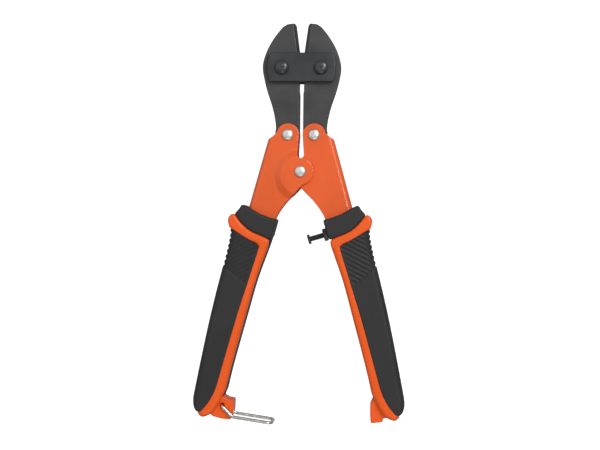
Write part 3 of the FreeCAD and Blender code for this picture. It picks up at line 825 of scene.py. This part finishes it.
class BOLTCUTTER_OT_grip_bodies(bpy.types.Operator):
    """Model the orange plastic bodies: core, thumb ridge and foot lug"""

    bl_idname = "boltcutter.grip_bodies"
    bl_label = "Grip bodies"

    def execute(self, context):
        settings = context.scene.boltcutter_grip
        for name, hand in HANDS:
            core = self.core(hand, settings.body_round)
            ridge = self.ridge(hand, settings.ridge_round)
            lug = self.lug(hand, settings.lug_round)
            piece = join(f"{name}_grip", core, ridge, lug)
            soften(piece, settings.mould_grain, settings.mould_passes)
            smooth(piece, 50)
            finish_piece(piece, "plastic", "orange_plastic", f"{name}_handle",
                         f"{name}_grip_body")
        return {"FINISHED"}

    @staticmethod
    def core(hand, rounding):
        """The stripe that shows beside the panel, and the thinner wall under the panel."""
        points = outline(STRIPE_TOP, (8, HIDDEN_SIDE), (10, FOOT_ROUND), (8, INNER_SIDE))
        stripe = slab("stripe", points, hand, HALF_GRIP)
        round_edges(stripe, rounding, segments=5, angle=60)
        points = outline(FILLER_TOP, (6, FILLER_SIDE), FILLER_INNER)
        filler = slab("filler", points, hand, HALF_GRIP - FILLER_INSET)
        return join("core", stripe, filler)

    @staticmethod
    def ridge(hand, rounding):
        """The raised stop for the thumb at the top of the grip."""
        points = outline((5, RIDGE_TOP), (5, RIDGE_NOSE), (5, RIDGE_FOOT), RIDGE_HEEL)
        piece = slab("ridge", points, hand, HALF_PANEL - RIDGE_INSET)
        round_edges(piece, rounding, segments=4, angle=50)
        return piece

    @staticmethod
    def lug(hand, rounding):
        """The lug at the foot: the left one is bored for the bail, the right one is notched."""
        piece = slab("lug", RIGHT_LUG if hand > 0 else LEFT_LUG, hand, HALF_LUG)
        if hand < 0:
            low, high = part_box("bail_wire")
            hole = Vector((low.x + WIRE_RADIUS, high.y - WIRE_RADIUS, PIVOT.z))
            drill(piece, WIRE_BORE, -9 * MM, 9 * MM, Matrix.Translation(hole))
        round_edges(piece, rounding, segments=3, angle=28)
        return piece


def ease(value):
    """Smooth step from 0 to 1."""
    value = min(1.0, max(0.0, value))
    return value * value * (3 - 2 * value)


class BOLTCUTTER_OT_grip_panels(bpy.types.Operator):
    """Model the ribbed rubber panels that wrap the outer side of the grips"""

    bl_idname = "boltcutter.grip_panels"
    bl_label = "Grip panels"

    # Shares of the grip's length, and how finely the sheet is divided there.
    SPANS = ((0.0, 0.40, 200), (0.40, 0.92, 26), (0.92, 1.0, 16))
    ACROSS = 124
    CURVE_STEPS = 60

    # Ribs: their slope, a point and the slope of the border below them, and their profile.
    RIB_SLOPE = math.radians(27)
    BORDER_X, BORDER_Y, BORDER_SLOPE = 38.9, -50.2, 0.78
    BORDER_FADE = 0.9
    RIB_DEPTH, RIB_SHARPNESS = 1.12, 0.6

    # Tail: the share of the length over which the sheet thins, to what height.
    TAIL_LENGTH = 0.07
    TAIL_HEIGHT, TAIL_RISE = 0.72, 0.28

    # Inner edge, in millimetres: the sheet bends down into the body there.
    CORNER_SHARE = 0.45
    LIP = 0.9
    EDGE_REACH, EDGE_DROP, EDGE_BEND = 0.8, 0.9, 1.3

    # Millimetres over which the ribs fade out, and the top edge is tucked under the ridge.
    PLAIN_EDGE, INNER_FADE = 0.3, 2.0
    TOP_EDGE, TOP_FADE = 0.1, 0.8
    TUCK, TUCK_EDGE = 1.1, 0.5

    def execute(self, context):
        settings = context.scene.boltcutter_grip
        for name, hand in HANDS:
            piece = self.skin(f"{name}_panel", hand, settings)
            apply_modifier(piece, "SOLIDIFY", thickness=settings.panel_skin, offset=-1.0)
            outward(piece)
            smooth(piece, 60)
            finish_piece(piece, "rubber", "black_rubber", f"{name}_handle",
                         f"{name}_grip_panel")
        return {"FINISHED"}

    def groove(self, x, y, settings):
        """Depth below the smooth skin at a place on the panel, in metres."""
        along = x * math.sin(self.RIB_SLOPE) + y * math.cos(self.RIB_SLOPE)
        border = y - (self.BORDER_Y + (x - self.BORDER_X) * self.BORDER_SLOPE)
        inside = ease(border / self.BORDER_FADE)
        wave = 0.5 + 0.5 * math.cos(2 * math.pi * along / (settings.rib_pitch / MM))
        crest = wave ** self.RIB_SHARPNESS
        return inside * settings.rib_height * (self.RIB_DEPTH - crest)

    def skin(self, name, hand, settings):
        """One sheet from the front inner edge round the outer side to the rear inner edge."""
        inner = curve_through(PANEL_INNER, self.CURVE_STEPS)
        outer = curve_through(PANEL_OUTER, self.CURVE_STEPS)
        stations = [start + (stop - start) * step / count
                    for start, stop, count in self.SPANS for step in range(count)] + [1.0]
        deselect()
        bpy.ops.mesh.primitive_grid_add(x_subdivisions=len(stations) - 1,
                                        y_subdivisions=self.ACROSS)
        piece = bpy.context.object
        piece.name = name
        piece.matrix_world = Matrix.Identity(4)
        for index, vertex in enumerate(piece.data.vertices):
            row, column = divmod(index, len(stations))
            turn = 2.0 * row / self.ACROSS - 1.0
            vertex.co = self.point(inner, outer, stations[column], turn, hand, settings)
        outward(piece)
        return piece

    def point(self, inner, outer, station, turn, hand, settings):
        """Place on the sheet: station runs down the grip, turn from rear edge to front edge."""
        near = self.along(inner, station)
        far = self.along(outer, station)
        width = (far - near).length
        tail = ease((1.0 - station) / self.TAIL_LENGTH)
        half = HALF_PANEL / MM * (self.TAIL_HEIGHT + self.TAIL_RISE * math.sqrt(tail))
        corner = min(settings.panel_round / MM, self.CORNER_SHARE * width)
        flat = width - corner
        arc = 0.5 * math.pi * corner
        upright = half - corner
        edge = upright + arc + flat - self.EDGE_REACH
        reach = abs(turn) * (self.LIP + flat + arc + upright)
        face = 1 if turn > 0 else -1
        if reach < upright:
            away, height = 0.0, reach
            out, up = 1.0, 0.0
        elif reach < upright + arc:
            angle = (reach - upright) / corner
            away, height = corner * (1 - math.cos(angle)), upright + corner * math.sin(angle)
            out, up = math.cos(angle), math.sin(angle)
        elif reach < edge:
            away, height = corner + reach - upright - arc, half
            out, up = 0.0, 1.0
        else:
            rest = reach - edge
            bend = 0.5 * math.pi * min(1.0, rest / self.EDGE_BEND)
            away = width - self.EDGE_REACH + self.EDGE_REACH * math.sin(bend)
            height = (half - self.EDGE_DROP * (1 - math.cos(bend))
                      - max(0.0, rest - self.EDGE_BEND))
            out, up = 0.0, 1.0
        direction = (far - near) / max(width, 1e-6)
        place = far - direction * away
        depth = self.groove(place.x, place.y, settings) / MM
        depth *= ease((width - away - self.PLAIN_EDGE) / self.INNER_FADE)
        below = self.below_ridge(place)
        depth *= ease((below + self.TOP_EDGE) / self.TOP_FADE)
        tuck = self.TUCK * (1.0 - ease((below + self.TUCK_EDGE) / self.TOP_FADE))
        place -= direction * (out * (depth + tuck))
        height -= up * (depth + tuck)
        return (PIVOT.x + hand * place.x * MM, PIVOT.y + place.y * MM, PIVOT.z + face * height * MM)

    @staticmethod
    def below_ridge(place):
        """Millimetres that a place lies below the foot of the thumb ridge."""
        x, y = RIDGE_FOOT[0]
        return y + (place.x - x) * RIDGE_FOOT_SLOPE - place.y

    @staticmethod
    def along(points, station):
        """Point at a share of a curve's length, by its evenly stepped samples."""
        spot = station * (len(points) - 1)
        index = min(int(spot), len(points) - 2)
        share = spot - index
        return Vector(points[index]).lerp(Vector(points[index + 1]), share)


class BOLTCUTTER_OT_collars(bpy.types.Operator):
    """Model the black collars above the thumb ridges"""

    bl_idname = "boltcutter.collars"
    bl_label = "Collars"

    def execute(self, context):
        settings = context.scene.boltcutter_grip
        for name, hand in HANDS:
            points = outline((5, RIDGE_TOP), (4, COLLAR_SHOULDER), COLLAR_TOP)
            piece = slab(f"{name}_sleeve", points, hand, HALF_COLLAR)
            round_edges(piece, settings.collar_round, segments=5, angle=40)
            soften(piece, settings.mould_grain, settings.mould_passes)
            if hand > 0:
                drill(piece, COLLAR_BORE, 0.0, COLLAR_BORE_DEPTH, screw_axis())
            smooth(piece)
            finish_piece(piece, "rubber", "black_rubber", f"{name}_handle",
                         f"{name}_collar")
        return {"FINISHED"}


class BOLTCUTTER_OT_shade_strips(bpy.types.Operator):
    """Model dark strips along the inner side of the grips: black rubber in part, and in part
    painted shade of that shaded side
    """

    bl_idname = "boltcutter.inlays"
    bl_label = "Inner strips"

    # Millimetres that a strip stands out of the grip, goes into it, and leans down inside it.
    PROUD, DEEP, LEAN = 0.12, 1.2, 0.35

    def execute(self, context):
        for name, hand in HANDS:
            side = [SHADE_STRIP_FOOT] + curve_through(INNER_SIDE, 8)
            # The right strip stops short, to leave room for the stop screw.
            side = side + SHADE_STRIP_TOP if hand < 0 else side[:-2]
            points = [(x - self.PROUD, y) for x, y in side]
            points += [(x + self.DEEP, y - self.LEAN) for x, y in side[::-1]]
            piece = slab(f"{name}_strip", points, hand, HALF_GRIP - SHADE_STRIP_INSET)
            round_edges(piece, SHADE_STRIP_ROUND, segments=3, angle=40)
            smooth(piece)
            # The strip's dark rubber colour is partly painted shade of the grip's shaded inner
            # side.
            piece.data.materials.append(MATERIALS["rubber"])
            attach(piece, f"{name}_handle")
        return {"FINISHED"}


def screw_axis():
    """Frame of the stop screw: Z runs inwards from the middle of its outer face."""
    joint = next(item for item in frame["joints"] if item["name"] == "stop_screw_adjust")
    inward = Vector(joint["axis"]).normalized()
    upward = Vector((0, 0, 1))
    low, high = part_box("stop_screw")
    radius = (high.z - low.z) / 2
    start = Vector((low.x + radius * abs(inward.y), low.y + radius * abs(inward.x), PIVOT.z))
    turn = Matrix((upward, inward.cross(upward), inward)).transposed().to_4x4()
    return Matrix.Translation(start) @ turn


class BOLTCUTTER_OT_stop(bpy.types.Operator):
    """Turn the stop screw with rings for its thread, and model its locknut"""

    bl_idname = "boltcutter.stop"
    bl_label = "Stop screw and locknut"

    def execute(self, context):
        self.screw()
        self.locknut()
        return {"FINISHED"}

    @staticmethod
    def screw():
        """The screw, its outer face at height 0, then moved to its place."""
        low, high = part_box("stop_screw")
        head = (high.z - low.z) / 2
        thick = 1.3 * MM
        crest, root, pitch, end = 1.44 * MM, 1.26 * MM, 0.5 * MM, 18.9 * MM
        socket_radius, socket_depth = 1.45 * MM, 1.4 * MM
        height = thick + 0.3 * MM
        profile = [(0.80 * head, 0.0), (0.93 * head, 0.08 * thick), (head, 0.32 * thick),
                   (head, 0.8 * thick), (0.93 * head, thick), (root, thick), (root, height)]
        while height + pitch < end:
            profile += [(crest, height + 0.38 * pitch), (crest, height + 0.5 * pitch),
                        (root, height + 0.9 * pitch)]
            height += pitch
        profile.append((root * 0.8, end))
        piece = turned("adjusting_screw", profile, 40)
        deselect()
        bpy.ops.mesh.primitive_cylinder_add(vertices=6, radius=socket_radius,
                                            depth=socket_depth)
        cut(piece, bpy.context.object)
        put(piece, screw_axis())
        smooth(piece, 30)
        finish_piece(piece, "black", "black_screw", "stop_screw", "stop_screw")

    @staticmethod
    def locknut():
        """A hexagon with its corners turned off and a hole through it."""
        flats, thick, start = 6.5 * MM, 2.0 * MM, 8.4 * MM
        corner = flats / math.sqrt(3)
        face, waist = 0.86 * corner, 1.02 * corner
        deselect()
        bpy.ops.mesh.primitive_cylinder_add(vertices=6, radius=corner, depth=thick,
                                            location=(0, 0, start + thick / 2),
                                            rotation=(0, 0, math.radians(30)))
        piece = bpy.context.object
        piece.name = "lock_nut"
        bpy.ops.object.transform_apply(location=True, rotation=True, scale=True)
        lens = turned("lens", [(face, start), (waist, start + 0.22 * thick),
                               (waist, start + 0.78 * thick), (face, start + thick)])
        apply_modifier(piece, "BOOLEAN", operation="INTERSECT", solver="EXACT", object=lens)
        bpy.data.objects.remove(lens)
        drill(piece, NUT_BORE, start - thick, start + 2 * thick, Matrix.Identity(4))
        put(piece, screw_axis())
        smooth(piece, 25)
        finish_piece(piece, "black", "black_screw", "stop_locknut", "stop_locknut")


class BOLTCUTTER_OT_packed(bpy.types.Operator):
    """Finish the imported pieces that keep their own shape"""

    bl_idname = "boltcutter.packed"
    bl_label = "Bail, spacer and threaded block"

    def execute(self, context):
        finish_node("bail_wire", "wire")
        finish_node("center_spacer", "steel")
        finish_node("stop_nut", "steel")
        return {"FINISHED"}


FLOOR_SIZE = 6.0
FLOOR_DROP = 0.3 * MM
FLOOR_GREYS = ((0.40, 0.40, 0.40), (0.42, 0.42, 0.42))
SKY_STRENGTH = 0.34
CAMERA_AIM = Vector((-0.35 * MM, PIVOT.y - 27.56 * MM, PIVOT.z))

# Soft lamps: name, place and size in metres, power in watts.
LAMPS = (
    ("key", (0.42, 0.42, 0.70), (0.30, 0.30), 4.0),
    ("fill", (-0.55, 0.30, 0.80), (1.10, 1.10), 2.2),
    ("front", (0.10, -0.70, 0.70), (0.50, 0.50), 1.2),
    ("strip", (0.42, 0.12, 0.95), (0.05, 0.45), 1.3),
)


class BOLTCUTTER_OT_stage(bpy.types.Operator):
    """Lay the floor, and set the lights and the camera"""

    bl_idname = "boltcutter.stage"
    bl_label = "Stage"

    def execute(self, context):
        settings = context.scene.boltcutter_stage
        context.scene.view_settings.view_transform = "Standard"
        self.floor()
        self.lights()
        self.camera(settings)
        return {"FINISHED"}

    @staticmethod
    def floor():
        """An evenly glowing floor, kept out of the reflections and the bounced light."""
        deselect()
        bpy.ops.mesh.primitive_plane_add(size=FLOOR_SIZE, location=(0, 0, -FLOOR_DROP))
        floor = bpy.context.object
        floor.name = "floor"
        make = Finish("pale_floor", Roughness=0.9, Specular_IOR_Level=0.1,
                      Emission_Color=(1.0, 1.0, 1.0, 1.0), Emission_Strength=1.0)
        grain = make.effect("grain", Grain_Scale=300.0, Cloud_Scale=3.0)
        make.colour(make.blend_colours(grain.outputs["Cloud"], *FLOOR_GREYS))
        floor.data.materials.append(make.material)
        floor.visible_diffuse = False
        floor.visible_glossy = False

    @staticmethod
    def lights():
        """A pale sky, and lamps that face the middle of the floor."""
        world = bpy.data.worlds.new("studio")
        bpy.context.scene.world = world
        world.use_nodes = True
        sky = world.node_tree.nodes["Background"]
        sky.inputs["Color"].default_value = (1.0, 1.0, 1.0, 1.0)
        sky.inputs["Strength"].default_value = SKY_STRENGTH
        for name, place, size, power in LAMPS:
            lamp = bpy.data.lights.new(name, "AREA")
            lamp.shape = "RECTANGLE"
            lamp.size, lamp.size_y = size
            lamp.energy = power
            item = bpy.data.objects.new(name, lamp)
            item.location = place
            item.rotation_euler = (-Vector(place)).to_track_quat("-Z", "Y").to_euler()
            bpy.context.scene.collection.objects.link(item)

    @staticmethod
    def camera(settings):
        """A camera over the tool, leaning to one side."""
        lens = bpy.data.cameras.new("camera")
        lens.sensor_width = 36.0
        lens.lens = lens.sensor_width * settings.distance / settings.width
        lens.clip_start = 0.01
        item = bpy.data.objects.new("camera", lens)
        tilt = Matrix.Rotation(settings.aside, 4, "Y")
        item.matrix_world = (Matrix.Translation(CAMERA_AIM) @ tilt
                             @ Matrix.Rotation(settings.roll, 4, "Z")
                             @ Matrix.Translation((0, 0, settings.distance)))
        bpy.context.scene.collection.objects.link(item)
        bpy.context.scene.camera = item


# ------------------------ panel and run

STEPS = (
    BOLTCUTTER_OT_finishes,
    BOLTCUTTER_OT_jaws,
    BOLTCUTTER_OT_plates,
    BOLTCUTTER_OT_rivets,
    BOLTCUTTER_OT_channels,
    BOLTCUTTER_OT_grip_bodies,
    BOLTCUTTER_OT_grip_panels,
    BOLTCUTTER_OT_collars,
    BOLTCUTTER_OT_shade_strips,
    BOLTCUTTER_OT_stop,
    BOLTCUTTER_OT_packed,
    BOLTCUTTER_OT_stage,
)

SETTINGS = (
    ("boltcutter_head", BOLTCUTTER_PG_head),
    ("boltcutter_grip", BOLTCUTTER_PG_grip),
    ("boltcutter_finish", BOLTCUTTER_PG_finish),
    ("boltcutter_stage", BOLTCUTTER_PG_stage),
)


class BOLTCUTTER_PT_sidebar(bpy.types.Panel):
    bl_label = "Bolt Cutters"
    bl_idname = "BOLTCUTTER_PT_sidebar"
    bl_space_type = "VIEW_3D"
    bl_region_type = "UI"
    bl_category = "Bolt Cutters"

    def draw(self, context):
        for name, group in SETTINGS:
            box = self.layout.box()
            for key in group.__annotations__:
                box.prop(getattr(context.scene, name), key)
        for step in STEPS:
            self.layout.operator(step.bl_idname)


def register():
    for _, group in SETTINGS:
        bpy.utils.register_class(group)
    for name, group in SETTINGS:
        setattr(bpy.types.Scene, name, PointerProperty(type=group))
    for step in STEPS + (BOLTCUTTER_PT_sidebar,):
        bpy.utils.register_class(step)


def unregister():
    for step in (BOLTCUTTER_PT_sidebar,) + STEPS[::-1]:
        bpy.utils.unregister_class(step)
    for name, group in SETTINGS[::-1]:
        delattr(bpy.types.Scene, name)
        bpy.utils.unregister_class(group)


def main():
    """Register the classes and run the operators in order."""
    register()
    for step in STEPS:
        group, name = step.bl_idname.split(".")
        getattr(getattr(bpy.ops, group), name)()
    deselect()


if __name__ == "__main__":
    main()
